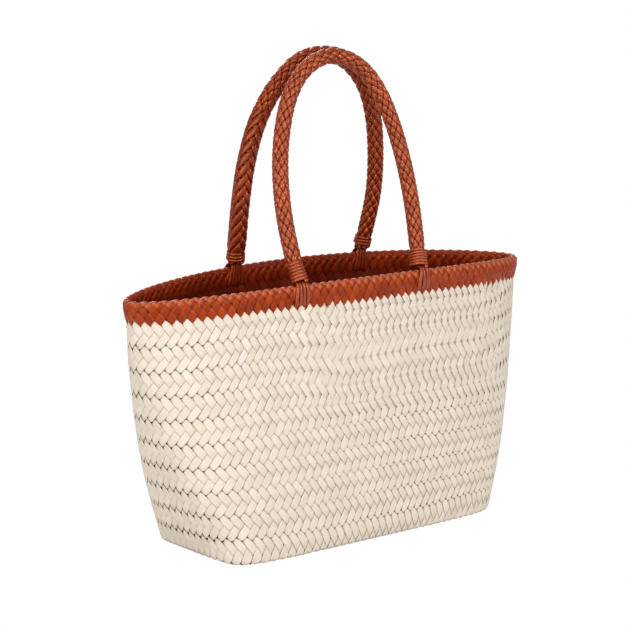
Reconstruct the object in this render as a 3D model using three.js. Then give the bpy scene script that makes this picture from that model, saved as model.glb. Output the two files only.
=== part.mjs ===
// Plaited leather tote: a woven basket, a bound rim and two round braided handles.
// Millimetres, +Z up, X along the length, -Y to the front, origin under the middle of the base.
import * as THREE from 'three';

// Plait: the strips lean both ways and cross in this many places round every level.
const STITCHES = 110;
const WALL = 3; // two crossing strips
const CLEARANCE = 0.3; // left between neighbouring pieces

// Basket: levels of the outside of the wall, each one a superellipse.
const HEIGHT = 220; // base to the top of the rim, at the middle of a side
const END_DROP = 7.9; // the two ends of the rim lie this much lower
const BASE_ROUND = 4; // the flat of the base stays this far inside the wall
const BASE_EDGE = 1.2; // height where the rounded edge of the base has turned most of the way up
const WALL_TOP = 216;
const LEVELS = [
  { height: 0, halfLength: 143.8, halfDepth: 60.5, squareness: 7.5 },
  { height: 5, halfLength: 146.5, halfDepth: 61.8, squareness: 6.8 },
  { height: 20, halfLength: 153.1, halfDepth: 62.3, squareness: 5.8 },
  { height: 44, halfLength: 164.6, halfDepth: 62.0, squareness: 4.6 },
  { height: 80, halfLength: 180.6, halfDepth: 60.8, squareness: 3.3 },
  { height: 121, halfLength: 194.5, halfDepth: 59.2, squareness: 2.5 },
  { height: 165, halfLength: 203.5, halfDepth: 57.7, squareness: 2.1 },
  { height: 220, halfLength: 208.6, halfDepth: 56.2, squareness: 1.89 },
];

// Rim: a plaited binding folded over the top of the wall, with a pointed tooth for every stitch.
const TOOTH_TIP = 200.0;
const TOOTH_NOTCH = 205.5;
const POCKET_OUTSIDE = CLEARANCE;
const POCKET_INSIDE = -WALL - CLEARANCE;
const POCKET_TOP = WALL_TOP + CLEARANCE;
// The binding seen end on, from its outer lower edge over the top to its inner lower edge.
// The offset is measured outwards from the outside of the wall.
const BINDING = [
  { offset: 1.3, height: TOOTH_NOTCH },
  { offset: 1.7, height: 216.0 },
  { offset: 0.1, height: 219.9 },
  { offset: -3.4, height: 219.9 },
  { offset: -5.1, height: 216.0 },
  { offset: -4.7, height: TOOTH_NOTCH },
];

// Handles: an arch for each side, leaning in over the mouth until the two nearly touch.
const HANDLE_SIDES = 10;
const HANDLE_STEPS = 48;
const FOOT_HEIGHT = 221.7;
const APEX_HEIGHT = 392.4;
const FOOT_STRAIGHT = 18; // length squeezed by the whipping
const FOOT_TAPER = 12; // length over which the braid then reaches its full thickness
// Reach of each arch from its middle to either side. The back one bulges more to the left.
const ARCH = [
  { rise: 0, front: 64.0, backLeft: 69.1, backRight: 69.1 },
  { rise: 0.12, front: 66.9, backLeft: 71.7, backRight: 70.3 },
  { rise: 0.3, front: 68.6, backLeft: 74.5, backRight: 70.9 },
  { rise: 0.5, front: 66.0, backLeft: 73.7, backRight: 66.8 },
  { rise: 0.68, front: 58.7, backLeft: 66.6, backRight: 60.1 },
  { rise: 0.82, front: 48.4, backLeft: 53.5, backRight: 50.4 },
  { rise: 0.92, front: 34.6, backLeft: 37.2, backRight: 36.7 },
  { rise: 0.98, front: 17.6, backLeft: 21.1, backRight: 21.1 },
];
const FRONT = {
  name: 'front',
  leftReach: 'front',
  rightReach: 'front',
  footMiddle: -13.9,
  apexMiddle: -0.5,
  footDepth: -49.0,
  apexDepth: 5.9,
  bow: 3.9,
  leftFootRadius: 5.0,
  leftRadius: 6.8,
  rightRadius: 6.8,
  rightFootRadius: 6.1,
  turns: 6,
  whippingStart: 0,
};
const BACK = {
  name: 'back',
  leftReach: 'backLeft',
  rightReach: 'backRight',
  footMiddle: 3.8,
  apexMiddle: 2.2,
  footDepth: 48.8,
  apexDepth: 21.6,
  bow: -6.7,
  leftFootRadius: 6.2,
  leftRadius: 8.1,
  rightRadius: 6.9,
  rightFootRadius: 6.0,
  turns: 4,
  whippingStart: 2.8,
};

// Whipping: turns of lace round each foot of a handle.
const TURN_PITCH = 2.75;
const TURN_DEPTH = 0.95;
const GROOVE_DEPTH = 0.45;
const WHIPPING_FLARE = 0.4; // the lowest turn is this much wider than the highest

// Lashing: laces side by side that tie each foot down over the rim.
const LACES = 5;
const LACE_WIDTH = 2.4;
const LACE_DEPTH = 1.0;
const LACE_EDGE = 0.55; // share of the depth left between two laces and at their flattened ends
const LACE_END = 203.5; // height where the laces tuck into the weave on both faces

const creamLeather = new THREE.MeshStandardMaterial({ color: 0xece4d6, roughness: 0.55, metalness: 0 });
const tanLeather = new THREE.MeshStandardMaterial({ color: 0xaa4626, roughness: 0.45, metalness: 0 });

// Outline of one level seen from above, walked round by its polar angle.
class Outline extends THREE.Curve {
  constructor(level) {
    super();
    this.level = level;
    this.arcLengthDivisions = 2000;
  }

  getPoint(t, target = new THREE.Vector2()) {
    const { halfLength, halfDepth, squareness } = this.level;
    const cosine = Math.cos(2 * Math.PI * t);
    const sine = Math.sin(2 * Math.PI * t);
    const sum = Math.abs(cosine / halfLength) ** squareness + Math.abs(sine / halfDepth) ** squareness;
    return target.set(cosine, sine).multiplyScalar(sum ** (-1 / squareness));
  }
}

function levelAt(height) {
  const passed = LEVELS.filter((level) => level.height < height).length;
  const above = THREE.MathUtils.clamp(passed, 1, LEVELS.length - 1);
  const low = LEVELS[above - 1];
  const high = LEVELS[above];
  const share = (height - low.height) / (high.height - low.height);
  const between = (key) => THREE.MathUtils.lerp(low[key], high[key], share);
  return {
    halfLength: between('halfLength'),
    halfDepth: between('halfDepth'),
    squareness: between('squareness'),
  };
}

// Ring of points round the basket, one for each stitch, moved outwards by the offset.
function basketRing(height, offset) {
  const level = levelAt(height);
  const points = new Outline(level).getSpacedPoints(STITCHES).slice(0, STITCHES);
  return points.map((point, i) => {
    const along = points[(i + 1) % STITCHES].clone().sub(points.at(i - 1)).normalize();
    const drop = END_DROP * (height / HEIGHT) * (point.x / level.halfLength) ** 2;
    return new THREE.Vector3(point.x + offset * along.y, point.y - offset * along.x, height - drop);
  });
}

// Closed solid through rings with equal numbers of points.
// The two ends are capped from their middles, unless the rings run in a loop.
function loft(rings, isLoop = false) {
  const count = rings[0].length;
  const points = rings.flat();
  const faces = [];
  const bands = isLoop ? rings.length : rings.length - 1;
  for (let band = 0; band < bands; band += 1) {
    const low = band * count;
    const high = ((band + 1) % rings.length) * count;
    for (let i = 0; i < count; i += 1) {
      const next = (i + 1) % count;
      faces.push(low + i, low + next, high + next, low + i, high + next, high + i);
    }
  }
  if (!isLoop) {
    const last = (rings.length - 1) * count;
    const firstMiddle = points.push(middleOf(rings[0])) - 1;
    const lastMiddle = points.push(middleOf(rings.at(-1))) - 1;
    for (let i = 0; i < count; i += 1) {
      const next = (i + 1) % count;
      faces.push(firstMiddle, next, i, lastMiddle, last + i, last + next);
    }
  }
  const geometry = new THREE.BufferGeometry().setFromPoints(points);
  geometry.setIndex(faces);
  geometry.computeVertexNormals();
  return geometry;
}

function middleOf(ring) {
  const sum = ring.reduce((total, point) => total.add(point), new THREE.Vector3());
  return sum.divideScalar(ring.length);
}

// Hollow basket: up the outside from the base, over the top edge and down the inside to the floor.
function basketBody() {
  const outside = LEVELS.filter((level) => level.height > 0 && level.height < WALL_TOP);
  const inside = outside.filter((level) => level.height > BASE_ROUND + WALL).reverse();
  return loft([
    basketRing(0, -BASE_ROUND),
    basketRing(BASE_EDGE, -BASE_ROUND / 4),
    ...outside.map((level) => basketRing(level.height, 0)),
    basketRing(WALL_TOP, 0),
    basketRing(WALL_TOP, -WALL),
    ...inside.map((level) => basketRing(level.height, -WALL)),
    basketRing(WALL, -WALL - BASE_ROUND / 2),
  ]);
}

// Rim ring with a point on every stitch and one half way to the next, where the teeth have their tips.
function rimRing(offset, height, tipHeight = height) {
  const notches = basketRing(height, offset);
  const tips = basketRing(tipHeight, offset);
  return notches.flatMap((notch, i) => {
    const tip = tips[i].clone().lerp(tips[(i + 1) % STITCHES], 0.5);
    return [notch, tip];
  });
}

function rimBand() {
  const toothed = (offset) => rimRing(offset, TOOTH_NOTCH, TOOTH_TIP);
  const crown = BINDING.slice(1, -1);
  return loft(
    [
      toothed(BINDING[0].offset),
      ...crown.map((place) => rimRing(place.offset, place.height)),
      toothed(BINDING.at(-1).offset),
      toothed(POCKET_INSIDE),
      rimRing(POCKET_INSIDE, POCKET_TOP),
      rimRing(POCKET_OUTSIDE, POCKET_TOP),
      toothed(POCKET_OUTSIDE),
    ],
    true,
  );
}

// Centre line of a handle, from its left foot over the apex to its right foot.
function handlePath(handle) {
  const place = (rise, reach) => new THREE.Vector3(
    THREE.MathUtils.lerp(handle.footMiddle, handle.apexMiddle, rise) + reach,
    THREE.MathUtils.lerp(handle.footDepth, handle.apexDepth, rise) + handle.bow * 4 * rise * (1 - rise),
    THREE.MathUtils.lerp(FOOT_HEIGHT, APEX_HEIGHT, rise),
  );
  const left = ARCH.map((row) => place(row.rise, -row[handle.leftReach]));
  const right = ARCH.map((row) => place(row.rise, row[handle.rightReach])).reverse();
  return new THREE.CatmullRomCurve3([...left, place(1, 0), ...right]);
}

// Thickness of the braid at a distance along it: squeezed at both feet, full between them.
function braidRadius(handle, share, length) {
  const toFoot = Math.min(share, 1 - share) * length;
  const foot = share < 0.5 ? handle.leftFootRadius : handle.rightFootRadius;
  const full = THREE.MathUtils.lerp(handle.leftRadius, handle.rightRadius, share);
  const filled = THREE.MathUtils.smoothstep(toFoot, FOOT_STRAIGHT, FOOT_STRAIGHT + FOOT_TAPER);
  return THREE.MathUtils.lerp(foot, full, filled);
}

// Ring of points square to a handle's path.
function pathRing(path, share, radius) {
  const centre = path.getPointAt(share);
  const along = path.getTangentAt(share);
  const side = new THREE.Vector3(0, 1, 0).projectOnPlane(along).normalize();
  const across = along.clone().cross(side);
  return Array.from({ length: HANDLE_SIDES }, (_, i) => {
    const angle = (2 * Math.PI * i) / HANDLE_SIDES;
    return centre.clone()
      .addScaledVector(side, radius * Math.cos(angle))
      .addScaledVector(across, radius * Math.sin(angle));
  });
}

function handleBraid(handle) {
  const path = handlePath(handle);
  const length = path.getLength();
  const rings = Array.from({ length: HANDLE_STEPS + 1 }, (_, i) => {
    const share = i / HANDLE_STEPS;
    return pathRing(path, share, braidRadius(handle, share, length));
  });
  return loft(rings);
}

// Ridged sleeve of lace round one foot. It is made upwards from the rim, also at the right foot.
function whipping(handle, isLeft) {
  const path = handlePath(handle);
  const length = path.getLength();
  const wound = handle.turns * TURN_PITCH;
  const ringAt = (up, depth) => {
    const toFoot = handle.whippingStart + up;
    const share = isLeft ? toFoot / length : 1 - toFoot / length;
    return pathRing(path, share, braidRadius(handle, share, length) + CLEARANCE + depth);
  };
  const outside = Array.from({ length: 2 * handle.turns + 1 }, (_, i) => {
    const up = (i * TURN_PITCH) / 2;
    const flare = WHIPPING_FLARE * (1 - up / wound);
    return ringAt(up, (i % 2 ? TURN_DEPTH : GROOVE_DEPTH) + flare);
  });
  const inside = [wound, wound / 2, 0].map((up) => ringAt(up, 0));
  const rings = [...outside, ...inside];
  return loft(isLeft ? rings : rings.reverse(), true);
}

// Place of a handle's foot on the rim, as a share of the way from one stitch to the next.
function footStitch(handle, isLeft) {
  const foot = handlePath(handle).getPointAt(isLeft ? 0 : 1);
  const ring = basketRing(TOOTH_NOTCH, 0);
  const isHere = (i) => {
    const next = ring[(i + 1) % STITCHES];
    return (ring[i].x - foot.x) * (next.x - foot.x) <= 0 && ring[i].y * foot.y > 0;
  };
  const stitch = ring.findIndex((_, i) => isHere(i));
  const next = (stitch + 1) % STITCHES;
  return { stitch, next, share: (foot.x - ring[stitch].x) / (ring[next].x - ring[stitch].x) };
}

// The binding's outline moved outwards by a distance, with mitred corners.
function bindingOffset(distance) {
  const facing = (from, to) => {
    const length = Math.hypot(to.offset - from.offset, to.height - from.height);
    return { offset: (to.height - from.height) / length, height: (from.offset - to.offset) / length };
  };
  return BINDING.map((place, i) => {
    const before = facing(BINDING[Math.max(i, 1) - 1], BINDING[Math.max(i, 1)]);
    const after = facing(BINDING[Math.min(i, BINDING.length - 2)], BINDING[Math.min(i, BINDING.length - 2) + 1]);
    const mitre = distance / (1 + before.offset * after.offset + before.height * after.height);
    return {
      offset: place.offset + mitre * (before.offset + after.offset),
      height: place.height + mitre * (before.height + after.height),
    };
  });
}

// Laces that run up the outside of the rim, over its top and down the inside, as one ribbed band.
function lashing(handle, isLeft) {
  const { stitch, next, share } = footStitch(handle, isLeft);
  const halfWidth = (LACES * LACE_WIDTH) / 2;
  const seat = bindingOffset(CLEARANCE);
  const crest = bindingOffset(CLEARANCE + LACE_DEPTH);
  const rings = seat.map((place, i) => {
    const isEnd = i === 0 || i === seat.length - 1;
    const low = basketRing(isEnd ? LACE_END : place.height, place.offset);
    const high = basketRing(isEnd ? LACE_END : crest[i].height, crest[i].offset);
    const bottom = low[stitch].clone().lerp(low[next], share);
    const top = high[stitch].clone().lerp(high[next], share);
    const along = low[next].clone().sub(low[stitch]).normalize();
    const at = (across, depth) => bottom.clone().lerp(top, depth).addScaledVector(along, across);
    const ribs = Array.from({ length: 2 * LACES + 1 }, (_, rib) => {
      return at((rib * LACE_WIDTH) / 2 - halfWidth, rib % 2 && !isEnd ? 1 : LACE_EDGE);
    });
    return [at(halfWidth, 0), at(-halfWidth, 0), ...ribs];
  });
  return loft(rings);
}

const tote = new THREE.Group();

function addPiece(name, geometry, material) {
  const piece = new THREE.Mesh(geometry, material);
  piece.name = name;
  tote.add(piece);
}

addPiece('basket_body', basketBody(), creamLeather);
addPiece('rim_band', rimBand(), tanLeather);
for (const handle of [FRONT, BACK]) {
  addPiece(`handle_${handle.name}`, handleBraid(handle), tanLeather);
  for (const isLeft of [true, false]) {
    const foot = `${handle.name}_${isLeft ? 'left' : 'right'}`;
    addPiece(`whipping_${foot}`, whipping(handle, isLeft), tanLeather);
    addPiece(`lashing_${foot}`, lashing(handle, isLeft), tanLeather);
  }
}

export default tote;
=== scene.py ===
import math

import bpy
import numpy as np
from mathutils import Matrix, Vector


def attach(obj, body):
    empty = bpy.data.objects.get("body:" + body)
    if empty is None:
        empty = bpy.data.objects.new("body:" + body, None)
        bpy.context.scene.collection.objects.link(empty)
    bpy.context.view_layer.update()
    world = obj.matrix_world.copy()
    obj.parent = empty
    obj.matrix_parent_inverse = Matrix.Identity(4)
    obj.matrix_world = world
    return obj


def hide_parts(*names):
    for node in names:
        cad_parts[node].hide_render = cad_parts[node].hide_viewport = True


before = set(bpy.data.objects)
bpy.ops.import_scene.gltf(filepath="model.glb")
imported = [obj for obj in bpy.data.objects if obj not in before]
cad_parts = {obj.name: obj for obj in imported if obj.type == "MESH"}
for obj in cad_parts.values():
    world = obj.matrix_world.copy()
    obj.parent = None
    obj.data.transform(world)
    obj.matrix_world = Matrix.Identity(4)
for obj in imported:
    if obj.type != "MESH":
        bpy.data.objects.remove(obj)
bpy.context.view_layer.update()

# Wall of the basket: 110 leather strips rise to the right and 110 to the left, cream outside and tan inside.
# Two rows of crossings with one set on top follow two rows with the other, which gives level herringbone bands.
# The strips turn under at the rounded edge of the base and end inside the binding of the rim.
MM = 0.001
STRIPS_ROUND = 110
ROW_HEIGHT = 5.02 * MM
RIM_HEIGHT = 220 * MM
END_DROP = 7.9 * MM  # the two ends of the rim hang this much lower
# height, half length, half depth and squareness of the outline of the wall
LEVELS = np.array([
    (0.0, 143.8, 60.5, 7.5),
    (5.0, 146.5, 61.8, 6.8),
    (20.0, 153.1, 62.3, 5.8),
    (44.0, 164.6, 62.0, 4.6),
    (80.0, 180.6, 60.8, 3.3),
    (121.0, 194.5, 59.2, 2.5),
    (165.0, 203.5, 57.7, 2.1),
    (220.0, 208.6, 56.2, 1.89),
])
# row, height and distance outside the wall's face of the middle of the plait, from under the base to the top
WALL_PROFILE = np.array([
    (-4.0, 1.4, -22.0),
    (-1.0, 1.3, -6.2),
    (-0.5, 1.2, -3.5),
    (0.0, 1.3, -1.5),
    (0.5, 3.2, -1.3),
    (1.0, 6.0, -1.3),
    (2.0, 13.5, -1.4),
    (40.0, 204.2, -1.5),
    (42.0, 213.6, -1.7),
])
PLACES_PER_ROW = 4
PLACES_PER_STRIP = 2
OUTLINE_PLACES = 2401
NEIGHBOUR_SHARE = 0.004  # the outline's direction is taken between neighbours this far off


def basket_ring(height, offset, shares, sag=0.0):
    """Places round the basket at one height in mm, by share of the way round, moved outwards and down by mm."""
    angle = np.linspace(0, 2 * np.pi, OUTLINE_PLACES)

    def outline(angle, height):
        half_length, half_depth, squareness = (np.interp(height, LEVELS[:, 0], LEVELS[:, i]) for i in (1, 2, 3))
        cosine, sine = np.cos(angle), np.sin(angle)
        sum_of_powers = np.abs(cosine / half_length) ** squareness + np.abs(sine / half_depth) ** squareness
        reach = sum_of_powers ** (-1 / squareness)
        drop = END_DROP / MM * height / (RIM_HEIGHT / MM) * (cosine * reach / half_length) ** 2
        return np.stack([cosine * reach, sine * reach, height - drop], -1)

    steps = np.linalg.norm(np.diff(outline(angle, height)[:, :2], axis=0), axis=1)
    walked = np.concatenate([[0], np.cumsum(steps)])
    walked /= walked[-1]

    def at(share):
        return outline(np.interp(share % 1, walked, angle), height - sag)

    place = at(shares)
    along = (at(shares + NEIGHBOUR_SHARE) - at(shares - NEIGHBOUR_SHARE))[..., :2]
    along /= np.linalg.norm(along, axis=-1, keepdims=True)
    place[..., 0] += offset * along[..., 1]
    place[..., 1] -= offset * along[..., 0]
    return place * MM


def form_object(name, places, over, squeeze):
    """Grid of places to lay strips on, with its outward side, which strips lie over and where they narrow."""
    rows, columns = over.shape
    along = np.gradient(places, axis=1)
    if np.allclose(places[:, 0], places[:, -1], atol=1e-6):
        along[:, 0] = along[:, -1] = places[:, 1] - places[:, -2]
    outward = np.cross(along, np.gradient(places, axis=0))
    outward /= np.linalg.norm(outward, axis=-1, keepdims=True)
    corner = np.arange(rows * columns).reshape(rows, columns)
    faces = np.stack([corner[:-1, :-1], corner[:-1, 1:], corner[1:, 1:], corner[1:, :-1]], -1).reshape(-1, 4)
    mesh = bpy.data.meshes.new(name)
    mesh.from_pydata(places.reshape(-1, 3).tolist(), [], faces.tolist())
    share = np.stack(np.meshgrid(np.linspace(0, 1, columns), np.linspace(0, 1, rows)), -1).reshape(-1, 2)
    layer = mesh.uv_layers.new(name="lattice")
    layer.data.foreach_set("uv", share[faces.ravel()].astype(np.float32).ravel())
    side = mesh.attributes.new("outward", "FLOAT_VECTOR", "POINT")
    side.data.foreach_set("vector", outward.astype(np.float32).ravel())
    for label, values in (("over", over), ("squeeze", squeeze)):
        field = mesh.attributes.new(label, "FLOAT", "POINT")
        field.data.foreach_set("value", values.astype(np.float32).ravel())
    form = bpy.data.objects.new(name, mesh)
    bpy.context.scene.collection.objects.link(form)
    return form


def node(tree, kind, inputs=None, **settings):
    """New node of a tree with these settings, and with values or links at its inputs."""
    made = tree.nodes.new(kind)
    for name, value in settings.items():
        setattr(made, name, value)
    for socket, value in (inputs or {}).items():
        if isinstance(value, bpy.types.NodeSocket):
            tree.links.new(value, made.inputs[socket])
        else:
            made.inputs[socket].default_value = value
    return made


def calc(tree, operation, *values):
    """Result of one sum on numbers and sockets."""
    return node(tree, "ShaderNodeMath", dict(enumerate(values)), operation=operation).outputs[0]


STRIP_INPUTS = {
    "Form": "Object",
    "Leather": "Material",
    "Strips": "Int",
    "Ways": "Int",
    "First Way": "Int",
    "Segments": "Int",
    "Sides": "Int",
    "Seed": "Int",
    "First Column": "Float",
    "Form Columns": "Float",
    "Form Start": "Float",
    "Form Rows": "Float",
    "Start": "Float",
    "Rows": "Float",
    "Lean": "Float",
    "Half Width Columns": "Float",
    "Half Width Rows": "Float",
    "Thickness": "Float",
    "Crown": "Float",
    "Roundness": "Float",
    "Crease": "Float",
    "Lift": "Float",
    "Steepness": "Float",
    "Tuck": "Float",
    "Gather": "Float",
    "Narrowing": "Float",
    "Wander": "Float",
}
FORM_MARGIN = 0.0002  # keeps strips off the very ends of a form
EDGE_POWER = 0.3  # under 1, a strip is squarer than an oval: across its edges, and over its faces
FACE_POWER = 0.7
WANDER_APART = 3.7  # steps through the noise from strip to strip, and from row to row
WANDER_ALONG = 0.3
MOST_FLOATS = 64.0  # more than a strip has, so that each float gets its own number


def strip_tree():
    """Lays strips on a form side by side, each leaning across its columns and lifted over those it crosses."""
    tree = bpy.data.node_groups.new("Leather strips on a form", "GeometryNodeTree")
    for name, kind in STRIP_INPUTS.items():
        tree.interface.new_socket(name, in_out="INPUT", socket_type="NodeSocket" + kind)
    tree.interface.new_socket("Strips", in_out="OUTPUT", socket_type="NodeSocketGeometry")
    given = node(tree, "NodeGroupInput").outputs

    def do(operation, *values):
        return calc(tree, operation, *values)

    def named(name, kind="FLOAT"):
        read = node(tree, "GeometryNodeInputNamedAttribute", {"Name": name}, data_type=kind)
        return read.outputs["Attribute"]

    form = node(tree, "GeometryNodeObjectInfo", {"Object": given["Form"]}).outputs["Geometry"]
    count = do("MULTIPLY", given["Strips"], given["Ways"])
    starts = node(tree, "GeometryNodeMeshLine", {"Count": count, "Offset": (0, 0, 0)})
    blank = node(tree, "GeometryNodeMeshCylinder", {
        "Vertices": given["Sides"], "Side Segments": given["Segments"], "Radius": 1.0, "Depth": 1.0})
    # Edges along the strip that turn by more than the crease stay sharp, so that its faces look flat across.
    bend = node(tree, "GeometryNodeInputMeshEdgeAngle").outputs["Unsigned Angle"]
    creased = node(tree, "GeometryNodeSetShadeSmooth", {
        0: blank.outputs["Mesh"], "Selection": do("GREATER_THAN", bend, given["Crease"]),
        "Shade Smooth": False}, domain="EDGE")
    laid = node(tree, "GeometryNodeInstanceOnPoints", {
        "Points": starts.outputs["Mesh"], "Instance": creased.outputs[0]})
    numbered = node(tree, "GeometryNodeStoreNamedAttribute", {
        "Geometry": laid.outputs["Instances"], "Name": "strip",
        "Value": node(tree, "GeometryNodeInputIndex").outputs[0]}, data_type="FLOAT", domain="INSTANCE")
    strips = node(tree, "GeometryNodeRealizeInstances", {"Geometry": numbered.outputs["Geometry"]})
    position = node(tree, "GeometryNodeInputPosition").outputs[0]
    blank_place = node(tree, "ShaderNodeSeparateXYZ", {"Vector": position})
    run = do("ADD", blank_place.outputs["Z"], 0.5)
    strip = named("strip")

    # The second set of strips leans the other way and lies under where the first lies over.
    set_number = do("FLOOR", do("DIVIDE", do("ADD", strip, 0.5), given["Strips"]))
    turn = do("SUBTRACT", 1.0, do("MULTIPLY", do("ADD", set_number, given["First Way"]), 2.0))
    number = do("SUBTRACT", strip, do("MULTIPLY", set_number, given["Strips"]))
    even_row = do("ADD", given["Start"], do("MULTIPLY", given["Rows"], run))
    # The cuts along a strip gather where it goes over and under, at the even rows.
    wave = do("SINE", do("MULTIPLY", even_row, math.pi))
    gathered = do("MULTIPLY", wave, do("DIVIDE", given["Gather"], math.pi))
    row = do("SUBTRACT", even_row, gathered)
    wander_at = node(tree, "ShaderNodeCombineXYZ", {
        "X": do("MULTIPLY", strip, WANDER_APART), "Y": do("MULTIPLY", row, WANDER_ALONG), "Z": given["Seed"]})
    wander = node(tree, "ShaderNodeTexNoise", {"Vector": wander_at.outputs[0], "Scale": 1.0, "Detail": 1.0})
    aside = do("MULTIPLY", given["Wander"], do("SUBTRACT", wander.outputs["Fac"], 0.5))
    column = do("ADD", do("ADD", number, given["First Column"]),
                do("ADD", aside, do("MULTIPLY", turn, do("MULTIPLY", given["Lean"], do("SUBTRACT", row, 0.5)))))

    def lattice(at_column, at_row):
        share = do("DIVIDE", do("SUBTRACT", at_row, given["Form Start"]), given["Form Rows"])
        return node(tree, "ShaderNodeCombineXYZ", {
            "X": do("FRACT", do("DIVIDE", at_column, given["Form Columns"])),
            "Y": do("MINIMUM", do("MAXIMUM", share, FORM_MARGIN), 1 - FORM_MARGIN)}).outputs[0]

    def sample(value, kind, at):
        return node(tree, "GeometryNodeSampleUVSurface", {
            "Mesh": form, "Value": value, "UV Map": named("lattice", "FLOAT_VECTOR"), "Sample UV": at},
            data_type=kind).outputs["Value"]

    over = sample(named("over"), "FLOAT", lattice(column, row))
    squeeze = sample(named("squeeze"), "FLOAT", lattice(column, row))
    width = do("SUBTRACT", 1.0, do("MULTIPLY", given["Narrowing"], squeeze))

    def squared(value, power):
        return do("MULTIPLY", do("SIGN", value), do("POWER", do("ABSOLUTE", value), power))

    across = squared(blank_place.outputs["X"], do("ADD", given["Roundness"], EDGE_POWER))
    face = squared(blank_place.outputs["Y"], FACE_POWER)
    crown = do("MULTIPLY", given["Crown"], do("SUBTRACT", 1.0, do("MULTIPLY", across, across)))
    spread = do("MULTIPLY", across, width)
    at_column = do("ADD", column, do("MULTIPLY", given["Half Width Columns"], spread))
    at_row = do("SUBTRACT", row, do("MULTIPLY", turn, do("MULTIPLY", given["Half Width Rows"], spread)))
    here = lattice(at_column, at_row)
    place = sample(position, "FLOAT_VECTOR", here)
    outward = sample(named("outward", "FLOAT_VECTOR"), "FLOAT_VECTOR", here)
    above = do("SUBTRACT", do("MULTIPLY", over, turn), given["Tuck"])
    lifted = do("TANH", do("MULTIPLY", above, given["Steepness"]))
    height = do("ADD", do("ADD", do("MULTIPLY", given["Lift"], lifted), crown),
                do("MULTIPLY", do("MULTIPLY", given["Thickness"], 0.5), face))
    raised = node(tree, "ShaderNodeVectorMath", {0: outward, "Scale": height}, operation="SCALE")
    put = node(tree, "ShaderNodeVectorMath", {0: place, 1: raised.outputs[0]}, operation="ADD")

    # What the leather's material reads: the side of the strip, the place across it, from its upper edge at -1
    # to its lower one at 1, the place along it, a tint, the height in the plait and how open the plait is.
    float_number = do("ADD", do("MULTIPLY", strip, MOST_FLOATS), do("FLOOR", do("MULTIPLY", row, 0.5)))
    chance = node(tree, "FunctionNodeRandomValue", {
        "ID": float_number, "Seed": given["Seed"]}, data_type="FLOAT").outputs[1]
    marks = {
        "face": blank_place.outputs["Y"],
        "across": do("MULTIPLY", blank_place.outputs["X"], turn),
        "run": run,
        "tint": chance,
        "lift": lifted,
        "open": squeeze,
    }
    marked = strips.outputs["Geometry"]
    for name, value in marks.items():
        mark = node(tree, "GeometryNodeStoreNamedAttribute", {
            "Geometry": marked, "Name": name, "Value": value}, data_type="FLOAT", domain="POINT")
        marked = mark.outputs["Geometry"]
    shaped = node(tree, "GeometryNodeSetPosition", {"Geometry": marked, "Position": put.outputs[0]})
    smooth = node(tree, "GeometryNodeSetShadeSmooth", {"Geometry": shaped.outputs["Geometry"]})
    finished = node(tree, "GeometryNodeSetMaterial", {
        "Geometry": smooth.outputs["Geometry"], "Material": given["Leather"]})
    node(tree, "NodeGroupOutput", {"Strips": finished.outputs["Geometry"]})
    return tree


strips_on_form = strip_tree()


def lay_strips(name, slot, nodes, **values):
    """Runs the strip tree with these inputs and keeps the result as a plain mesh in place of the CAD nodes."""
    host = bpy.data.objects.new(name + "_host", bpy.data.meshes.new(name + "_host"))
    bpy.context.scene.collection.objects.link(host)
    modifier = host.modifiers.new("strips", "NODES")
    modifier.node_group = strips_on_form
    sockets = {s.name: s.identifier for s in strips_on_form.interface.items_tree if s.in_out == "INPUT"}
    for key, value in values.items():
        modifier[sockets[key.replace("_", " ").title()]] = value
    depsgraph = bpy.context.evaluated_depsgraph_get()
    mesh = bpy.data.meshes.new_from_object(host.evaluated_get(depsgraph))
    mesh.name = name
    bpy.data.objects.remove(host)
    piece = bpy.data.objects.new(name, mesh)
    bpy.context.scene.collection.objects.link(piece)
    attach(piece, "root")
    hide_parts(*nodes)


def crossing_strips(fill):
    """Lean and half width of strips that fill this share of the lattice, along the strips they cross."""
    return {"lean": 0.5, "half_width_columns": fill / 4, "half_width_rows": fill / 2}


def mixed(tree, factor, first, second):
    """Mix of two colours. Its sockets share their names with other kinds, so they are found by identifier."""
    mix = node(tree, "ShaderNodeMix", data_type="RGBA")
    for identifier, value in (("Factor_Float", factor), ("A_Color", first), ("B_Color", second)):
        socket = next(s for s in mix.inputs if s.identifier == identifier)
        if isinstance(value, bpy.types.NodeSocket):
            tree.links.new(value, socket)
        else:
            socket.default_value = value
    return next(s for s in mix.outputs if s.identifier == "Result_Color")


def ramp(tree, value, start, end, most=1.0, least=0.0):
    """Number that goes from the least to the most while a value goes from start to end."""
    return node(tree, "ShaderNodeMapRange", {
        "Value": value, "From Min": start, "From Max": end, "To Min": least, "To Max": most}).outputs["Result"]


MOTTLE_SCALE = 110.0
CLOUD_SCALE = 16.0
ROUGHER_BY = 0.16  # from the smoothest places of the leather to the roughest
GRAIN_SHARE = 0.6  # how much the cells of the grain add to the height of the mottle
GRAIN_DEPTH = 0.4 * MM


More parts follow.
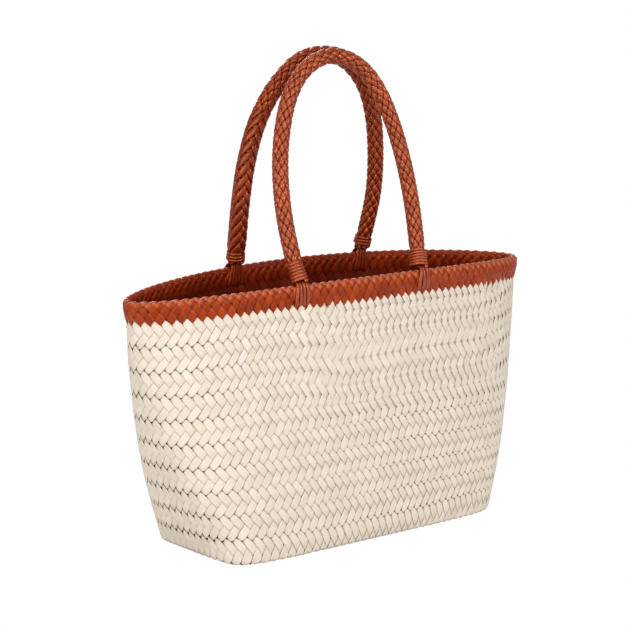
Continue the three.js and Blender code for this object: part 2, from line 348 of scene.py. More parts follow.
def leather_finish():
    """Grain, cloudy patches and a tint for each strip, shared by the cream and the tan leather."""
    group = bpy.data.node_groups.new("Leather finish", "ShaderNodeTree")
    for name, kind in (("Colour", "Color"), ("Patches", "Color"), ("Tint", "Color"), ("Grain Scale", "Float"),
                       ("Smoothest", "Float")):
        group.interface.new_socket(name, in_out="INPUT", socket_type="NodeSocket" + kind)
    for name, kind in (("Colour", "Color"), ("Roughness", "Float"), ("Height", "Float")):
        group.interface.new_socket(name, in_out="OUTPUT", socket_type="NodeSocket" + kind)
    given = node(group, "NodeGroupInput").outputs
    place = node(group, "ShaderNodeTexCoord").outputs["Object"]
    mottle, cloud = (
        node(group, "ShaderNodeTexNoise", {"Vector": place, "Scale": scale, "Detail": detail}).outputs["Fac"]
        for scale, detail in ((MOTTLE_SCALE, 3.0), (CLOUD_SCALE, 2.0)))
    grain = node(group, "ShaderNodeTexVoronoi", {"Vector": place, "Scale": given["Grain Scale"]})
    tint = node(group, "ShaderNodeAttribute", attribute_name="tint").outputs["Fac"]
    uneven = ramp(group, calc(group, "ADD", mottle, cloud), 0.72, 1.28)
    patched = mixed(group, uneven, given["Colour"], given["Patches"])
    coloured = mixed(group, calc(group, "MULTIPLY", tint, tint), patched, given["Tint"])
    roughest = calc(group, "ADD", given["Smoothest"], ROUGHER_BY)
    rough = ramp(group, mottle, 0.3, 0.7, most=roughest, least=given["Smoothest"])
    height = calc(group, "ADD", calc(group, "MULTIPLY", grain.outputs["Distance"], GRAIN_SHARE), mottle)
    node(group, "NodeGroupOutput", {"Colour": coloured, "Roughness": rough, "Height": height})
    return group


leather = leather_finish()


def leather_material(name, outside, inside, edges, tucked_shade, grain_scale, sheen):
    """Leather of a strip: colours outside, inside, and painted highlight and shade on its edges and tucked
    places.

    The sheen holds the gloss and the strength of the grain, from where and how strongly the edges are painted,
    how dark the painted shade of the tucked places is, the shares of the run where the strip folds in and where
    a highlight is painted along the lip, and the colour of the painted shade in the dots.
    """
    material = bpy.data.materials.new(name)
    material.use_nodes = True
    tree = material.node_tree
    shader = tree.nodes["Principled BSDF"]
    faces = []
    for colours in (outside, inside):
        finish = node(tree, "ShaderNodeGroup", node_tree=leather)
        for socket, colour in zip(("Colour", "Patches", "Tint"), colours):
            finish.inputs[socket].default_value = (*colour, 1)
        finish.inputs["Grain Scale"].default_value = grain_scale
        finish.inputs["Smoothest"].default_value = sheen["smoothest"]
        faces.append(finish)

    def mark(label):
        return node(tree, "ShaderNodeAttribute", attribute_name=label).outputs["Fac"]

    across, lift, run = mark("across"), mark("lift"), mark("run")
    from_middle = calc(tree, "ABSOLUTE", across)
    upper_side = ramp(tree, mark("face"), -0.3, 0.05)
    before_fold = ramp(tree, run, sheen["fold"] + 0.04, sheen["fold"])
    is_outside = calc(tree, "MULTIPLY", upper_side, before_fold)
    # The inside colours are darker than the outside ones, partly as painted shade of the tote's inside.
    colour = mixed(tree, is_outside, faces[1].outputs["Colour"], faces[0].outputs["Colour"])
    # Painted highlight along the lip of the rim, where its top faces the light.
    if "lip_highlight" in sheen:
        from_lip = calc(tree, "ABSOLUTE", calc(tree, "SUBTRACT", run, sheen["lip_highlight"]))
        colour = mixed(tree, ramp(tree, from_lip, 0.09, 0.04, 0.6), colour, (*edges[0], 1))
    # Painted highlight and shade on the edges: the rim's upper edges lighter, its lower ones and all other
    # seams darker.
    edge = mixed(tree, calc(tree, "GREATER_THAN", across, 0.0), (*edges[0], 1), (*edges[1], 1))
    at_edge = ramp(tree, from_middle, sheen["edge_from"], 1.0, sheen["edge_dark"])
    edged = mixed(tree, calc(tree, "MULTIPLY", is_outside, at_edge), colour, edge)
    # Painted shade: a strip is painted darker where it is tucked under its neighbours and close to the ground.
    tucked = ramp(tree, lift, 0.1, -0.8, sheen["tuck_dark"])
    place = node(tree, "ShaderNodeSeparateXYZ", {"Vector": node(tree, "ShaderNodeTexCoord").outputs["Object"]})
    floor_shade = ramp(tree, place.outputs["Z"], 3.0 * MM, 0.6 * MM, 0.7)
    painted_shade = calc(tree, "MULTIPLY", is_outside, calc(tree, "MAXIMUM", tucked, floor_shade))
    colour = mixed(tree, painted_shade, edged, (*tucked_shade, 1))
    if "holes" in sheen:
        # Painted shade in the dots: where the plait is open and a strip dips, most of all beside its edges, it
        # is painted dark.
        wide = ramp(tree, mark("open"), 0.6, 1.3, 0.95)
        deep = ramp(tree, lift, 0.0, -0.55)
        beside = ramp(tree, from_middle, 0.2, 0.65, least=0.4)
        dipped = calc(tree, "MULTIPLY", wide, deep)
        in_dot = calc(tree, "MULTIPLY", calc(tree, "MULTIPLY", is_outside, beside), dipped)
        colour = mixed(tree, in_dot, colour, (*sheen["holes"], 1))
    tree.links.new(colour, shader.inputs["Base Color"])
    tree.links.new(faces[0].outputs["Roughness"], shader.inputs["Roughness"])
    bump = node(tree, "ShaderNodeBump", {
        "Height": faces[0].outputs["Height"], "Strength": sheen["grain"], "Distance": GRAIN_DEPTH})
    tree.links.new(bump.outputs["Normal"], shader.inputs["Normal"])
    shader.inputs["IOR"].default_value = sheen["index"]
    shader.inputs["Specular IOR Level"].default_value = sheen["level"]
    shader.inputs["Specular Tint"].default_value = (*sheen["tint"], 1)
    return material


CREAM = ((0.715, 0.63, 0.53), (0.68, 0.59, 0.485), (0.745, 0.665, 0.57))
# Painted shade: the brown below darkens the cream's edges, its tucked places and its foot near the ground.
CREAM_SHADE = (0.42, 0.30, 0.20)
# The tan back of the cream strips, made darker than the rim's tan as painted shade of the tote's inside.
TAN_INSIDE_AND_SHADE = ((0.13, 0.0075, 0.0004), (0.09, 0.0048, 0.0003), (0.18, 0.014, 0.001))
CREAM_GRAIN = 1400.0
# The cream's colour for the dots below is painted shade of the holes in the plait.
CREAM_SHEEN = {
    "smoothest": 0.46, "level": 0.15, "tint": (1.0, 0.97, 0.92), "index": 1.5, "grain": 0.25,
    "edge_from": 0.9, "edge_dark": 0.1, "tuck_dark": 0.4, "fold": 1.0, "holes": (0.12, 0.055, 0.03),
}
cream_leather = leather_material(
    "cream_leather", CREAM, TAN_INSIDE_AND_SHADE, (CREAM_SHADE, CREAM_SHADE), CREAM_SHADE, CREAM_GRAIN, CREAM_SHEEN)

wall_rows = np.arange(WALL_PROFILE[0, 0], WALL_PROFILE[-1, 0] + 1e-6, 1 / PLACES_PER_ROW)
shares = np.linspace(0, 1, STRIPS_ROUND * PLACES_PER_STRIP + 1)
# Plaited by hand, the strips drift from an even lattice: how many columns and rows, by share of the way round.
# Each line of the two tables is six rows above the one before.
DRIFT_SHARES = np.array([0.25, 0.50, 0.53, 0.56, 0.59, 0.62, 0.65, 0.68, 0.74, 0.80, 0.86, 0.92])
DRIFT_ROWS = np.arange(0, 43, 6)
COLUMN_DRIFT = np.array([
    (0.0, 3.39, 2.87, 2.32, 1.77, 1.18, 0.59, 0.11, -0.38, -0.49, -0.43, -0.15),
    (0.0, 2.81, 2.37, 1.92, 1.43, 0.89, 0.38, 0.08, -0.39, -0.44, -0.46, -0.27),
    (0.0, 2.17, 1.80, 1.42, 1.00, 0.66, 0.39, 0.20, -0.21, -0.10, -0.05, -0.29),
    (0.0, 1.56, 1.31, 1.06, 0.74, 0.56, 0.52, 0.52, 0.62, 0.58, 0.15, -0.30),
    (0.0, 0.97, 0.73, 0.47, 0.30, 0.40, 0.60, 0.82, 1.28, 1.09, 0.48, -0.13),
    (0.0, 0.47, 0.30, 0.13, -0.02, 0.28, 0.67, 0.87, 1.26, 1.23, 0.90, 0.22),
    (0.0, 0.08, -0.04, -0.17, -0.24, 0.17, 0.65, 0.82, 1.14, 1.30, 1.13, 0.63),
    (0.0, -0.21, -0.27, -0.30, -0.21, 0.09, 0.44, 0.72, 1.15, 1.42, 1.36, 1.02),
])
ROW_DRIFT = np.array([
    (0.0, 0.89, 0.60, 0.30, 0.14, 0.42, 0.88, 1.25, 1.22, 1.16, 0.30, 0.06),
    (0.0, 0.79, 0.53, 0.25, 0.06, 0.19, 0.42, 0.66, 0.66, 0.81, 0.60, 0.74),
    (0.0, 0.66, 0.45, 0.24, 0.08, 0.11, 0.23, 0.38, 0.56, 0.70, 0.92, 1.28),
    (0.0, 0.57, 0.43, 0.30, 0.13, 0.09, 0.20, 0.38, 0.62, 0.72, 1.13, 1.45),
    (0.0, 0.49, 0.38, 0.28, 0.18, 0.17, 0.24, 0.40, 0.63, 0.57, 0.88, 1.11),
    (0.0, 0.42, 0.36, 0.31, 0.22, 0.19, 0.25, 0.28, 0.50, 0.39, 0.52, 0.71),
    (0.0, 0.36, 0.32, 0.26, 0.17, 0.12, 0.12, 0.25, 0.43, 0.30, 0.45, 0.58),
    (0.0, 0.27, 0.22, 0.18, 0.15, 0.14, 0.21, 0.38, 0.58, 0.53, 0.57, 0.58),
])


def drift(table, row):
    """Drift of one row of the lattice at every share round the basket, between the places in the table."""
    known = [np.interp(row, DRIFT_ROWS, column) for column in table.T]
    return np.interp(shares, DRIFT_SHARES, known, period=1)


def wall_ring(row):
    """Places round the wall at one row of crossings, which sags with the drift and turns under at the base."""
    level = np.interp(row, WALL_PROFILE[:, 0], WALL_PROFILE[:, 1])
    sagged = row - drift(ROW_DRIFT, row)
    height, offset = (np.interp(sagged, WALL_PROFILE[:, 0], WALL_PROFILE[:, i]) for i in (1, 2))
    return basket_ring(level, offset, shares - drift(COLUMN_DRIFT, row) / STRIPS_ROUND, level - height)


wall_places = np.array([wall_ring(row) for row in wall_rows])
# High on the right of the front the bands are lower, so some strips go over one or three: row, steps ahead.
BAND_STEPS = np.array([
    (20.0, 0.0),
    (22.0, 0.2),
    (25.0, 1.2),
    (28.0, 2.0),
    (33.0, 1.0),
    (36.0, 2.0),
    (38.5, 3.5),
    (40.0, 4.0),
])
lower_bands = np.interp(shares, [0.66, 0.72, 0.90, 0.96], [0, 1, 1, 0])
steps_ahead = np.interp(wall_rows, BAND_STEPS[:, 0], BAND_STEPS[:, 1])
wall_bands = wall_rows[:, None] + steps_ahead[:, None] * lower_bands
wall_over = np.sin(np.pi / 2 * wall_bands)
# The plait is open most where a rising band ends above a falling one, and towards both ends of the front.
# It is closed at the back: share of the way round, looseness, and how much more open every other line is.
LOOSE_PLAIT = np.array([
    (0.04, -0.6, 0.0),
    (0.44, -0.6, 0.0),
    (0.50, 0.65, 0.65),
    (0.56, 0.65, 0.65),
    (0.62, 0.55, 0.25),
    (0.72, 0.6, 0.3),
    (0.80, 0.8, 0.6),
    (0.97, 0.8, 0.6),
])
LOOSER_LOW = 0.8
LOW_ROWS = 8
looseness, unevenness = (np.interp(shares, LOOSE_PLAIT[:, 0], LOOSE_PLAIT[:, i], period=1) for i in (1, 2))
looser_low = 1 + LOOSER_LOW * np.clip(1 - wall_rows / LOW_ROWS, 0, 1)[:, None]
between_bands = (1 - wall_over ** 2) ** 3
wall_squeeze = between_bands * looser_low * (looseness + unevenness * np.cos(np.pi / 2 * wall_bands))
wall_form = form_object("wall_form", wall_places, wall_over, wall_squeeze)
WALL_START, WALL_RUN = -1.2, 42.7
for way, name in enumerate(("wall_strips_rising", "wall_strips_falling")):
    lay_strips(name, "cream_leather", ["basket_body"], form=wall_form, leather=cream_leather,
               strips=STRIPS_ROUND, ways=1, first_way=way, segments=144, sides=6, seed=4 + way,
               first_column=0.0, form_columns=float(STRIPS_ROUND), form_start=wall_rows[0],
               form_rows=wall_rows[-1] - wall_rows[0], start=WALL_START, rows=WALL_RUN,
               thickness=1.1 * MM, crease=0.5, lift=0.65 * MM, steepness=3.6, tuck=0.2, gather=0.7,
               narrowing=0.28, wander=0.14, **crossing_strips(1.02))
bpy.data.objects.remove(wall_form)

# Base: the same cream strips, 40 each way, cross on the slant under the tote, over two and under two.
# Their ends stop short of the edge, above the turned-under ends of the wall's strips.
BASE_STRIPS = 40
BASE_STRIP = 6.2
BASE_INSET = 3.0
BASE_MIDDLE = 3.6
BASE_REACH = 200.0  # past the base's corners
base_reach = np.linspace(-BASE_REACH, BASE_REACH, 1601)
half_strips = (np.arange(2 * BASE_STRIPS + 1) / 2 - BASE_STRIPS / 2) * BASE_STRIP
half_length, half_depth, squareness = LEVELS[0, 1] - BASE_INSET, LEVELS[0, 2] - BASE_INSET, LEVELS[0, 3]
for way, name in enumerate(("base_strips_rising", "base_strips_falling")):
    slant = np.array([1.0, 1.0 - 2 * way]) / math.sqrt(2)
    square = np.array([-slant[1], slant[0]])
    ends = []
    for start in half_strips:
        line = start * square + np.outer(base_reach, slant)
        outline = np.abs(line[:, 0] / half_length) ** squareness + np.abs(line[:, 1] / half_depth) ** squareness
        held = base_reach[outline < 1]
        ends.append((held[0], held[-1]))
    ends = np.array(ends)
    run = ends[:, 0] + (ends[:, 1] - ends[:, 0]) * np.linspace(0, 1, 121)[:, None]
    flat = half_strips[None, :, None] * square + run[..., None] * slant
    places = np.concatenate([flat, np.full((*run.shape, 1), BASE_MIDDLE)], -1) * MM
    over = np.sin(np.pi / 2 * flat[..., 0] * math.sqrt(2) / BASE_STRIP + np.pi / 4)
    form = form_object("base_form", places, over, 1 - over ** 2)
    lay_strips(name, "cream_leather", ["basket_body"], form=form, leather=cream_leather,
               strips=BASE_STRIPS, ways=1, first_way=way, segments=72, sides=6, seed=21 + way,
               first_column=0.5, form_columns=float(BASE_STRIPS), form_start=0.0, form_rows=1.0,
               start=0.002, rows=0.996, lean=0.0, half_width_columns=0.49, half_width_rows=0.0,
               thickness=1.0 * MM, crease=0.5, lift=0.6 * MM, steepness=2.2, tuck=0.1, gather=0.0,
               narrowing=0.06, wander=0.0)
    bpy.data.objects.remove(form)

# Rim: tan strips run up the outside, over the top edge and down the inside, in step with those of the wall.
# They cross one over one, with rounded lobes on both faces and along the lip, and their ends stand as teeth.
TAN = ((0.29, 0.026, 0.002), (0.22, 0.017, 0.0012), (0.36, 0.042, 0.006))
# Painted highlight for the rim's upper edges and lip, and below it painted shade for lower edges, tucks and
# seams.
TAN_HIGHLIGHT = (0.56, 0.15, 0.07)
TAN_SHADE = (0.05, 0.0035, 0.0006)
# A darker copy of the tan for where the strips fold inside the rim: painted shade of the tote's inside.
TAN_FOLDED_SHADE = ((0.18, 0.013, 0.0008), (0.14, 0.009, 0.0006), (0.22, 0.019, 0.002))
TAN_GRAIN = 1200.0
RIM_SHEEN = {
    "smoothest": 0.34, "level": 0.6, "tint": (1.0, 0.4, 0.2), "index": 1.5, "grain": 0.2,
    "edge_from": 0.6, "edge_dark": 0.7, "tuck_dark": 0.6, "fold": 0.56, "lip_highlight": 0.43,
}
tan_leather = leather_material(
    "tan_leather", TAN, TAN_FOLDED_SHADE, (TAN_HIGHLIGHT, TAN_SHADE), TAN_SHADE, TAN_GRAIN, RIM_SHEEN)
# row, height and distance outside the wall's face of the middle of the binding
RIM_PROFILE = np.array([
    (-1.0, 197.4, -2.8),
    (0.0, 203.6, -1.2),
    (1.0, 209.6, 0.3),
    (2.0, 214.6, 0.7),
    (2.5, 216.7, 0.5),
    (3.0, 218.2, -0.6),
    (3.5, 218.7, -1.7),
    (4.0, 218.2, -2.8),
    (4.5, 216.7, -3.9),
    (5.0, 214.6, -4.2),
    (6.0, 209.6, -3.9),
    (7.0, 203.6, -2.6),
    (8.0, 197.4, -1.2),
])
# row and which set lies over there, by less inside, where the binding is pressed flatter
RIM_CROSSINGS = np.array([
    (0.5, -1),
    (1.5, 1),
    (2.5, -1),
    (3.5, 1),
    (4.5, -0.6),
    (5.5, 0.35),
    (6.5, -0.35),
])
RIM_PLACES_PER_ROW = 6
WALL_TOP_ROW = 40.0
LEVEL_FROM_ROW = 3  # below this row the binding follows the drift of the wall's rows
rim_rows = np.arange(RIM_PROFILE[0, 0], RIM_PROFILE[-1, 0] + 1e-6, 1 / RIM_PLACES_PER_ROW)
rim_shares = shares - drift(COLUMN_DRIFT, WALL_TOP_ROW) / STRIPS_ROUND
rim_sag = drift(ROW_DRIFT, WALL_TOP_ROW) * ROW_HEIGHT / MM
rim_places = np.array([
    basket_ring(np.interp(row, RIM_PROFILE[:, 0], RIM_PROFILE[:, 1]),
                np.interp(row, RIM_PROFILE[:, 0], RIM_PROFILE[:, 2]),
                rim_shares, rim_sag * np.clip(1 - row / LEVEL_FROM_ROW, 0, 1)) for row in rim_rows])
rim_over = np.repeat(np.interp(rim_rows, RIM_CROSSINGS[:, 0], RIM_CROSSINGS[:, 1])[:, None], len(shares), 1)
rim_form = form_object("rim_form", rim_places, rim_over, 1 - rim_over ** 2)
lay_strips("rim_strips", "tan_leather", ["rim_band"], form=rim_form, leather=tan_leather,
           strips=STRIPS_ROUND, ways=2, first_way=0, segments=42, sides=8, seed=9,
           first_column=0.0, form_columns=float(STRIPS_ROUND), form_start=-1.0, form_rows=9.0,
           start=0.0, rows=7.0, thickness=1.3 * MM, crown=0.2 * MM, roundness=0.08, crease=3.2,
           lift=0.4 * MM, steepness=2.6, tuck=0.15, gather=0.0, narrowing=0.08, wander=0.5,
           **crossing_strips(1.04))
bpy.data.objects.remove(rim_form)

# Handles: two round braids of twelve tan strands, six leaning each way, arched from foot to foot.
# They are plain, one over one, but for the left leg of the back handle, where strands go over three.
HANDLE_TAN = {
    "front": ((0.27, 0.026, 0.002), (0.21, 0.018, 0.0012), (0.37, 0.05, 0.009)),
    "back": ((0.19, 0.012, 0.0007), (0.15, 0.008, 0.0005), (0.25, 0.019, 0.0015)),
}
HANDLE_GLOSS_TINT = {"front": (1.0, 0.48, 0.3), "back": (1.0, 0.38, 0.18)}
# The strands are painted dark towards both edges and where they are tucked under: painted shade in the braid's
# seams.
HANDLE_SHEEN = {
    "smoothest": 0.3, "level": 1.0, "index": 1.7, "grain": 0.07,
    "edge_from": 0.7, "edge_dark": 0.6, "tuck_dark": 1.0, "fold": 1.0,
}
handle_leather = {
    name: leather_material("handle_leather_" + name, colours, colours, (TAN_SHADE, TAN_SHADE), TAN_SHADE,
                           TAN_GRAIN, {**HANDLE_SHEEN, "tint": HANDLE_GLOSS_TINT[name]})
    for name, colours in HANDLE_TAN.items()}
FOOT_HEIGHT = 221.7
APEX_HEIGHT = 392.4
FOOT_TAPER = 10.0
# rise, reach of the front handle to either side, and of the back one to the left and to the right
ARCH = np.array([
    (0.0, 64.0, 69.1, 69.1),
    (0.12, 66.9, 71.7, 70.3),
    (0.3, 68.6, 74.5, 70.9),
    (0.5, 66.0, 73.7, 66.8),
    (0.68, 58.7, 66.6, 60.1),
    (0.82, 48.4, 53.5, 50.4),
    (0.92, 34.6, 37.2, 36.7),
    (0.98, 17.6, 21.1, 21.1),
])
HANDLES = {
    "front": {
        "reach": (1, 1), "foot_middle": -13.9, "apex_middle": -0.5, "foot_depth": -49.0, "apex_depth": 5.9,
        "bow": 3.9, "straight": 10.0,
        "left_foot": 5.0, "left_radius": 6.8, "right_radius": 6.8, "right_foot": 6.1},
    "back": {
        "reach": (2, 3), "foot_middle": 3.8, "apex_middle": 2.2, "foot_depth": 48.8, "apex_depth": 21.6,
        "bow": -6.7, "straight": 7.0,
        "left_foot": 6.2, "left_radius": 8.1, "right_radius": 6.9, "right_foot": 6.0},
}
CURVE_STEPS = 40
HANDLE_PLACES = 521
BRAID_COLUMNS = 48
STRANDS = 6
STRAND_ROW = 4.95
STRAND_DEPTH = 1.85  # from the outside of a braid to the middle of its strands
# which set lies over at each half column round the braid, and up to which row the back handle has long floats
PLAIN = (1, -1, 1, -1, 1, -1, 1, -1, 1, -1, 1, -1)
LONG_FLOATS = (1, -1, -1, 1, 1, 1, -1, -1, 1, -1, 1, -1)
LONG_FLOAT_ROWS = {"front": 0, "back": 26}


def handle_line(handle, count):
    """Even places on a handle's middle line in mm, with the direction there and the distance from its start."""
    def place(rise, reach):
        left_to_rise = 1 - rise
        bowed = handle["bow"] * 4 * rise * left_to_rise
        return (left_to_rise * handle["foot_middle"] + rise * handle["apex_middle"] + reach,
                left_to_rise * handle["foot_depth"] + rise * handle["apex_depth"] + bowed,
                left_to_rise * FOOT_HEIGHT + rise * APEX_HEIGHT)

    left = [place(row[0], -row[handle["reach"][0]]) for row in ARCH]
    right = [place(row[0], row[handle["reach"][1]]) for row in ARCH[::-1]]
    knots = np.array([*left, place(1.0, 0.0), *right])
    knots = np.array([2 * knots[0] - knots[1], *knots, 2 * knots[-1] - knots[-2]])
    line = []
    for before, start, end, after in zip(knots, knots[1:], knots[2:], knots[3:]):
        gaps = [math.sqrt(np.linalg.norm(b - a)) for a, b in ((before, start), (start, end), (end, after))]
        into = (start - before) / gaps[0] - (end - before) / (gaps[0] + gaps[1]) + (end - start) / gaps[1]
        out = (end - start) / gaps[1] - (after - start) / (gaps[1] + gaps[2]) + (after - end) / gaps[2]
        into, out = into * gaps[1], out * gaps[1]
        for t in np.linspace(0, 1, CURVE_STEPS, endpoint=False):
            line.append(start + t * into + t * t * (3 * (end - start) - 2 * into - out)
                        + t ** 3 * (2 * (start - end) + into + out))
    line = np.array([*line, knots[-2]])
    walked = np.concatenate([[0], np.cumsum(np.linalg.norm(np.diff(line, axis=0), axis=1))])
    even = np.linspace(0, walked[-1], count)
    places = np.stack([np.interp(even, walked, line[:, i]) for i in range(3)], 1)
    along = np.gradient(places, axis=0)
    return places, along / np.linalg.norm(along, axis=1, keepdims=True), even


def braid_radius(handle, walked, length):
    """Outside radius of a braid in mm at distances along it: squeezed at the feet, full between them."""
    near = np.clip((np.minimum(walked, length - walked) - handle["straight"]) / FOOT_TAPER, 0, 1)
    foot = np.where(walked < length / 2, handle["left_foot"], handle["right_foot"])
    full = handle["left_radius"] + (handle["right_radius"] - handle["left_radius"]) * walked / length
    return foot + (full - foot) * near * near * (3 - 2 * near)


def tube_places(centres, along, radius, columns):
    """Rings of places square to a line, counted round from its +Y side."""
    side = np.array([0.0, 1.0, 0.0]) - along * along[:, 1:2]
    side /= np.linalg.norm(side, axis=1, keepdims=True)
    across = np.cross(along, side)
    angle = np.linspace(0, 2 * np.pi, columns + 1)
    ring = np.cos(angle)[None, :, None] * side[:, None] + np.sin(angle)[None, :, None] * across[:, None]
    return (centres[:, None] + radius[:, None, None] * ring) * MM


for name, handle in HANDLES.items():
    centres, along, walked = handle_line(handle, HANDLE_PLACES)
    length = walked[-1]
    strand_rows = round(length / STRAND_ROW)
    radius = braid_radius(handle, walked, length) - STRAND_DEPTH
    places = tube_places(centres, along, radius, BRAID_COLUMNS)
    half_column = np.linspace(0, 2 * STRANDS, BRAID_COLUMNS + 1)
    plain, long_floats = (np.interp(half_column, np.arange(2 * STRANDS + 1), [*signs, signs[0]])
                          for signs in (PLAIN, LONG_FLOATS))
    is_long = np.linspace(0, strand_rows, len(places)) < LONG_FLOAT_ROWS[name]
    over = np.where(is_long[:, None], long_floats, plain)
    form = form_object("handle_form_" + name, places, over, 1 - over ** 2)
    lay_strips("handle_strands_" + name, "tan_leather", ["handle_" + name],
               form=form, leather=handle_leather[name],
               strips=STRANDS, ways=2, first_way=0, segments=strand_rows * 5, sides=10, seed=11,
               first_column=0.0, form_columns=float(STRANDS), form_start=0.0, form_rows=float(strand_rows),
               start=0.0, rows=float(strand_rows), thickness=1.5 * MM, crown=0.6 * MM, roundness=0.1,
               crease=3.2, lift=0.7 * MM, steepness=3.0, tuck=0.15, gather=0.0, narrowing=0.0, wander=0.08,
               **crossing_strips(0.86))
    bpy.data.objects.remove(form)

# Whippings: a lace of the handles' tan leather is wound close round each foot of a handle.
# Its turns lie edge to edge, six in front and three at the back, and hold the ends of the braid.
WHIPPING_COLUMNS = 32
SPARE_TURNS = 1.5  # the form goes on past both ends of the lace
LACE_CLEAR = 0.6  # from the outside of the braid to the middle of the lace
LOWEST_CLEAR = 0.4  # how much more at the lowest turn
FOOT_PLACES = 2001
LACE = {
    "ways": 1, "first_way": 0, "sides": 8, "roundness": 0.3, "crease": 3.2, "lift": 0.0,
    "steepness": 1.0, "tuck": 0.0, "gather": 0.0, "narrowing": 0.0,
}
# turns, their pitch, and height of the lowest edge above the foot of the handle
WHIPPINGS = {
    ("front", "left"): (6, 2.6, -2.5),
    ("front", "right"): (6, 2.4, -2.8),
    ("back", "left"): (3, 2.75, 1.6),
    ("back", "right"): (3, 2.6, 3.0),
}


def foot_line(name, side, ups):
    """Places and directions on a handle's middle line at distances up from a foot, or below it in line."""
    centres, along, walked = handle_line(HANDLES[name], FOOT_PLACES)
    if side == "right":
        centres, along = centres[::-1], -along[::-1]
    places = np.stack([np.interp(ups, walked, centres[:, i]) for i in range(3)], 1)
    places += np.minimum(ups, 0)[:, None] * along[0]
    directions = np.stack([np.interp(ups, walked, along[:, i]) for i in range(3)], 1)
    return places, directions / np.linalg.norm(directions, axis=1, keepdims=True), walked[-1]


for (name, side), (count, pitch, lowest) in WHIPPINGS.items():
    turns = np.arange(-SPARE_TURNS, count + SPARE_TURNS + 0.1, 0.25)
    ups = lowest + (turns + 0.5) * pitch
    centres, along, length = foot_line(name, side, ups)
    foot_at = 0 if side == "left" else length
    radius = braid_radius(HANDLES[name], np.full(len(turns), foot_at), length)
    radius += LACE_CLEAR + LOWEST_CLEAR * (1 - np.clip(turns / count, 0, 1))
    level = np.zeros((len(turns), WHIPPING_COLUMNS + 1))
    form = form_object("whipping_form", tube_places(centres, along, radius, WHIPPING_COLUMNS), level, level)
    lay_strips("whipping_lace_" + name + "_" + side, "tan_leather", ["whipping_" + name + "_" + side],
               form=form, leather=handle_leather[name], strips=1, segments=count * 28, seed=3,
               first_column=0.0, form_columns=1.0, form_start=-SPARE_TURNS,
               form_rows=float(turns[-1] + SPARE_TURNS), start=0.0, rows=float(count), lean=1.0,
               half_width_columns=0.0, half_width_rows=0.49, thickness=1.2 * MM, crown=0.35 * MM,
               wander=0.0, **LACE)
    bpy.data.objects.remove(form)

# Lashings: tan laces side by side that come down out of each whipping, tie the foot over the rim and fan out.
# They tuck into the plait under the teeth on both faces.
LASHING_ROWS = 12.0
FOOT_LEVEL = 207.0  # height on the wall at which the place of a foot is looked up
WAY_ROUND = 880.0
TOP_ROW = 6.5
FAN_ROWS = [1, 5]  # rows from the top between which the laces spread
RISE_ROW = 7.5  # the laces rise to the whipping round this row
RISE_ROWS = 1.6
ROUND_STEPS = 20000
# number of laces, width of each at the top and at the ends, and how far they rise to the whipping
LASHINGS = {
    ("front", "left"): (4, 2.6, 3.4, 1.0),
    ("front", "right"): (3, 2.8, 5.0, 0.5),
    ("back", "left"): (5, 2.2, 3.6, 2.4),
    ("back", "right"): (4, 2.2, 3.6, 3.2),
}
# row, height and distance outside the wall's face of the middle of the laces
LASHING_PROFILE = np.array([
    (0.0, 203.6, 0.0),
    (0.6, 205.6, 1.3),
    (1.2, 208.5, 1.9),
    (3.0, 215.0, 2.3),
    (4.0, 218.6, 2.0),
    (5.0, 221.0, 0.7),
    (6.0, 221.9, -1.7),
    (7.0, 221.0, -4.1),
    (8.0, 218.6, -5.4),
    (9.0, 215.0, -5.7),
    (10.8, 208.5, -5.3),
    (11.4, 205.6, -4.7),
    (12.0, 203.6, -3.4),
])
lashing_rows = np.arange(0, LASHING_ROWS + 0.01, 0.25)
foot_ring = basket_ring(FOOT_LEVEL, 0.0, np.linspace(0, 1, ROUND_STEPS + 1)) / MM
for (name, side), (count, top_width, end_width, rise) in LASHINGS.items():
    foot = foot_line(name, side, np.zeros(1))[0][0]
    same_face = foot_ring[:, 1] * foot[1] > 0
    middle = np.where(same_face, np.abs(foot_ring[:, 0] - foot[0]), np.inf).argmin() / ROUND_STEPS
    spread = np.linspace(-count / 2 - 1, count / 2 + 1, 2 * count + 5) / WAY_ROUND
    places = []
    for row in lashing_rows:
        height, offset = (np.interp(row, LASHING_PROFILE[:, 0], LASHING_PROFILE[:, i]) for i in (1, 2))
        height += rise * math.exp(-((row - RISE_ROW) / RISE_ROWS) ** 2)
        width = np.interp(abs(row - TOP_ROW), FAN_ROWS, [top_width, end_width])
        places.append(basket_ring(height, offset, middle + spread * width))
    places = np.array(places)
    level = np.zeros(places.shape[:2])
    form = form_object("lashing_form", places, level, level)
    lay_strips("lashing_laces_" + name + "_" + side, "tan_leather", ["lashing_" + name + "_" + side],
               form=form, leather=handle_leather[name], strips=count, segments=60, seed=5,
               first_column=1.5, form_columns=float(count + 2), form_start=0.0, form_rows=LASHING_ROWS,
               start=0.05, rows=11.9, lean=0.0, half_width_columns=0.46, half_width_rows=0.0,
               thickness=1.0 * MM, crown=0.3 * MM, wander=0.3, **LACE)
    bpy.data.objects.remove(form)

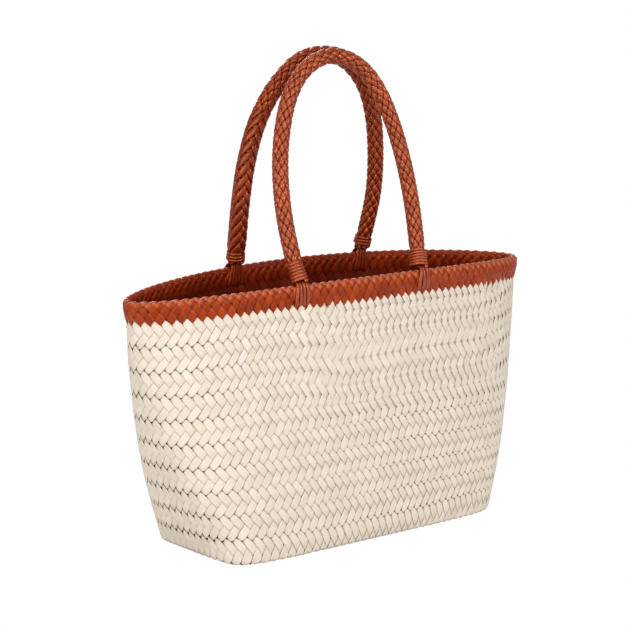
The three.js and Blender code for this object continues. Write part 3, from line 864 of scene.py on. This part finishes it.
# Studio: a wide pale floor that the camera sees as plain white, and even light from all round.
# Five soft lights stand before, above, beside and behind the tote. The camera is placed as in the photograph.
FLOOR = 30.0
floor_mesh = bpy.data.meshes.new("floor")
floor_mesh.from_pydata([(-FLOOR, -FLOOR, 0), (FLOOR, -FLOOR, 0), (FLOOR, FLOOR, 0), (-FLOOR, FLOOR, 0)],
                       [], [(0, 1, 2, 3)])
floor = bpy.data.objects.new("floor", floor_mesh)
bpy.context.scene.collection.objects.link(floor)
pale = bpy.data.materials.new("pale_floor")
pale.use_nodes = True
paint = pale.node_tree.nodes["Principled BSDF"]
paint.inputs["Base Color"].default_value = (0.8, 0.8, 0.8, 1)
paint.inputs["Roughness"].default_value = 0.8
seen = node(pale.node_tree, "ShaderNodeLightPath").outputs["Is Camera Ray"]
white = node(pale.node_tree, "ShaderNodeEmission", {"Color": (1, 1, 1, 1), "Strength": 1.0})
either = node(pale.node_tree, "ShaderNodeMixShader", {0: seen, 1: paint.outputs[0], 2: white.outputs[0]})
pale.node_tree.links.new(either.outputs[0], pale.node_tree.nodes["Material Output"].inputs["Surface"])
floor_mesh.materials.append(pale)

world = bpy.data.worlds.new("studio")
world.use_nodes = True
world.node_tree.nodes["Background"].inputs["Color"].default_value = (1, 1, 1, 1)
world.node_tree.nodes["Background"].inputs["Strength"].default_value = 0.305
bpy.context.scene.world = world


def soft_light(name, place, aim, size, power):
    """Round area light at a place, turned to what it lights."""
    lamp = bpy.data.lights.new(name, "AREA")
    lamp.shape = "DISK"
    lamp.size = size
    lamp.energy = power
    light = bpy.data.objects.new(name, lamp)
    light.location = place
    light.rotation_euler = (Vector(aim) - Vector(place)).to_track_quat("-Z", "Y").to_euler()
    bpy.context.scene.collection.objects.link(light)


soft_light("key", (-2.5, -1.9, 1.1), (0, 0, 0.2), 1.1, 25.0)
soft_light("fill", (0.6, -2.8, 1.2), (0, 0, 0.2), 1.4, 35.5)
soft_light("side", (-2.6, -0.2, 0.1), (0, 0, 0.0), 1.6, 32.0)
soft_light("top", (-0.7, -0.9, 2.2), (0, 0, 0.2), 1.4, 19.0)
soft_light("back", (1.3, 2.6, 1.4), (0, 0, 0.2), 1.6, 34.0)

AZIMUTH = math.radians(-40.56)
ELEVATION = math.radians(10.56)
ROLL = math.radians(0.911)
DISTANCE = 1.7783
PAN_RIGHT = -0.01594
PAN_UP = 0.00363
AIM = Vector((0, 0, 0.176))
back = Vector((math.sin(AZIMUTH) * math.cos(ELEVATION), -math.cos(AZIMUTH) * math.cos(ELEVATION),
               math.sin(ELEVATION)))
right = Vector((math.cos(AZIMUTH), math.sin(AZIMUTH), 0))
up = back.cross(right)
right, up = right * math.cos(ROLL) + up * math.sin(ROLL), up * math.cos(ROLL) - right * math.sin(ROLL)
camera_data = bpy.data.cameras.new("camera")
camera_data.lens = 122.9
camera_data.sensor_width = 36.0
camera = bpy.data.objects.new("camera", camera_data)
turned = Matrix((right, up, back)).transposed().to_4x4()
camera.matrix_world = Matrix.Translation(AIM + back * DISTANCE + right * PAN_RIGHT + up * PAN_UP) @ turned
bpy.context.scene.collection.objects.link(camera)
bpy.context.scene.camera = camera
bpy.context.scene.view_settings.view_transform = "Standard"
